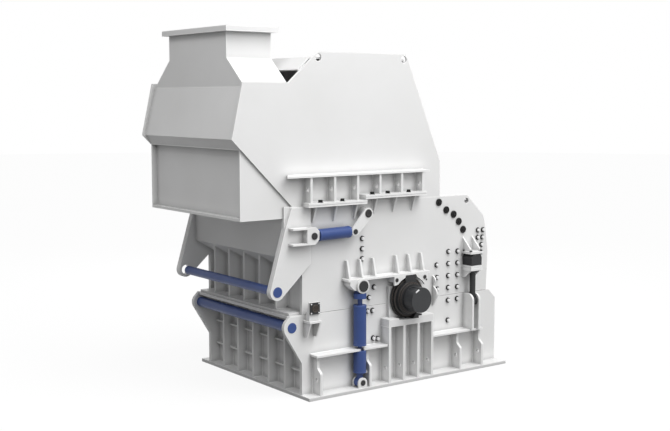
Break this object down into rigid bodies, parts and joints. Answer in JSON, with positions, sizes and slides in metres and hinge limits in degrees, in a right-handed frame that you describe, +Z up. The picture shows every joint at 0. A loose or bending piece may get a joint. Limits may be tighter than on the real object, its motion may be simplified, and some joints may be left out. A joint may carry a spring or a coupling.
{
  "type": "hammer crusher",
  "caption": "Welded plate hammer crusher: two-storey housing, feed hood with neck, hammer rotor in side bearings, breaker plate tilted by two cylinders.",
  "frame": {"origin": "middle of the underside of the base frame, on the plane that the base frame rests on", "axes": "+X from the feed end to the discharge end, +Y along the rotor shaft to the left side, +Z up"},
  "size_m": [4.115, 2.879, 4.335],
  "materials": {
    "white_paint": "satin off-white paint",
    "blue_paint": "gloss blue paint",
    "black_steel": "satin black paint",
    "worn_steel": "worn steel"
  },
  "bodies": {
    "housing": {"base_frame": "white_paint", "lower_front_wall": "white_paint", "lower_rear_wall": "white_paint", "upper_front_wall": "white_paint", "upper_rear_wall": "white_paint", "end_ribs": "white_paint", "right_lower_wall": "white_paint", "left_lower_wall": "white_paint", "right_upper_wall": "white_paint", "left_upper_wall": "white_paint", "side_ribs": "white_paint", "side_shelves": "white_paint", "right_lug_plate": "white_paint", "left_lug_plate": "white_paint", "right_bearing_shelf": "white_paint", "left_bearing_shelf": "white_paint", "adjuster_brackets": "white_paint", "hood_seats": "white_paint", "hood_frames": "white_paint", "hood_ribs": "white_paint", "right_hood_wall": "white_paint", "left_hood_wall": "white_paint", "hood_front": "white_paint", "hood_rear": "white_paint", "feed_neck": "white_paint", "socket_bracket": "white_paint", "right_lift_cylinder": "blue_paint", "left_lift_cylinder": "blue_paint", "upper_bar": "blue_paint", "lower_bar": "blue_paint", "right_bearing": "black_steel", "left_bearing": "black_steel", "adjuster_screws": "black_steel", "fixed_pins": "black_steel", "socket_box": "black_steel"},
    "rotor": {"rotor_shaft": "black_steel", "rotor_discs": "worn_steel", "hammers": "worn_steel"},
    "breaker": {"breaker_plate": "worn_steel", "right_lever": "white_paint", "left_lever": "white_paint"},
    "right_barrel": {"right_tilt_barrel": "blue_paint"},
    "left_barrel": {"left_tilt_barrel": "blue_paint"},
    "right_rod": {"right_tilt_rod": "blue_paint"},
    "left_rod": {"left_tilt_rod": "blue_paint"}
  },
  "joints": [
    {"name": "rotor_spin", "type": "hinge", "parent": "housing", "child": "rotor", "pos_m": [-0.044, 0, 1.06], "axis": [0, 1, 0], "continuous": true},
    {"name": "breaker_swing", "type": "hinge", "parent": "housing", "child": "breaker", "pos_m": [-0.708, 0, 2.152], "axis": [0, -1, 0], "range_deg": [0, 15]},
    {"name": "right_barrel_tilt", "type": "hinge", "parent": "housing", "child": "right_barrel", "pos_m": [-1.493, -1.1658, 1.934], "axis": [0, -1, 0], "range_deg": [-4.5, 0]},
    {"name": "right_rod_slide", "type": "slide", "parent": "right_barrel", "child": "right_rod", "axis": [0.9998, 0, 0.0186], "range_m": [0, 0.062]},
    {"name": "left_barrel_tilt", "type": "hinge", "parent": "housing", "child": "left_barrel", "pos_m": [-1.493, 1.1658, 1.934], "axis": [0, -1, 0], "range_deg": [-4.5, 0]},
    {"name": "left_rod_slide", "type": "slide", "parent": "left_barrel", "child": "left_rod", "axis": [0.9998, 0, 0.0186], "range_m": [0, 0.062]}
  ],
  "couplings": [
    {"joint": "right_barrel_tilt", "follows": "breaker_swing", "ratio": -0.27},
    {"joint": "right_rod_slide", "follows": "breaker_swing", "m_per_rad": 0.228},
    {"joint": "left_barrel_tilt", "follows": "breaker_swing", "ratio": -0.27},
    {"joint": "left_rod_slide", "follows": "breaker_swing", "m_per_rad": 0.228}
  ]
}
